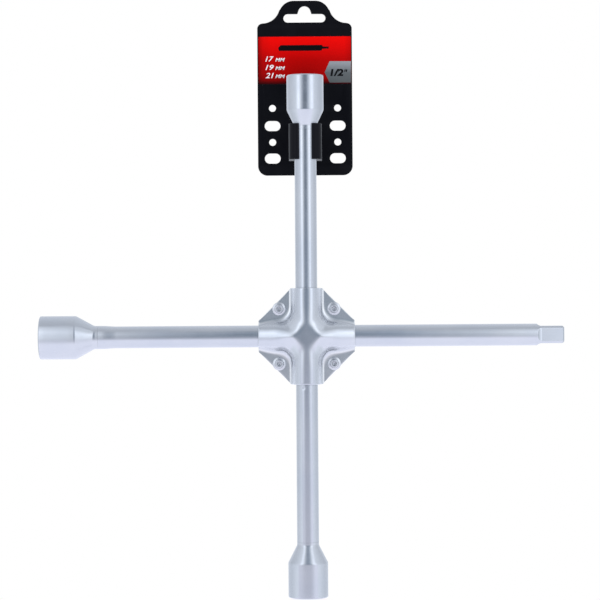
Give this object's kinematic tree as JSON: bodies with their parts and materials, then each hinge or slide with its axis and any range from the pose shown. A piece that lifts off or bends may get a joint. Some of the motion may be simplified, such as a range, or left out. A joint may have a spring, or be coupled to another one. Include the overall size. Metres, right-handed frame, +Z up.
{
  "type": "four-way lug wrench",
  "caption": "Cross-shaped wheel brace with hex sockets on its arms, a square drive end, riveted hub plates and a clip-on display hanger.",
  "frame": {"origin": "on the centre of the hub's front face, straight in front of the point where the two bars cross, which lies 14.9 mm behind it", "axes": "+Z up the arm that carries the 17 mm socket and the hanger, +X out to the square drive, -Y out of the front that shows the rolled ends of the rivets"},
  "size_m": [0.3855, 0.0377, 0.4394],
  "materials": {
    "bar_chrome": "satin chrome plate on 16 mm round steel bar, with faint drawing lines along it",
    "socket_chrome": "satin chrome plate on a turned and broached forging",
    "plate_chrome": "satin chrome plate on pressed 2 mm sheet",
    "rivet_steel": "bright plated steel, lightly marked by the setting tool",
    "spring_steel": "oiled hardened steel",
    "black_plastic": "moulded black polypropylene, semi-gloss",
    "red_label": "red printed film with plain size numbers"
  },
  "bodies": {
    "wrench": {"upright_bar": "bar_chrome", "cross_bar": "bar_chrome", "socket_17mm": "socket_chrome", "socket_19mm": "socket_chrome", "socket_21mm": "socket_chrome", "front_hub_plate": "plate_chrome", "rear_hub_plate": "plate_chrome", "rivet_top_left": "rivet_steel", "rivet_top_right": "rivet_steel", "rivet_bottom_left": "rivet_steel", "rivet_bottom_right": "rivet_steel", "rivet_washer_top_left": "rivet_steel", "rivet_washer_top_right": "rivet_steel", "rivet_washer_bottom_left": "rivet_steel", "rivet_washer_bottom_right": "rivet_steel", "detent_spring": "spring_steel"},
    "hanger": {"hanger_card": "black_plastic", "hanger_label": "red_label"},
    "detent": {"detent_ball": "spring_steel"}
  },
  "joints": [
    {"name": "hanger_swivel", "type": "hinge", "parent": "wrench", "child": "hanger", "pos_m": [0, 0.0113, 0.1426], "axis": [0, 0, 1], "continuous": true},
    {"name": "detent_press", "type": "slide", "parent": "wrench", "child": "detent", "axis": [0, -1, 0], "range_m": [0, 0.0009], "stiffness_N_per_m": 8000, "springref_m": -0.0015, "deforming": ["detent_spring"]}
  ]
}
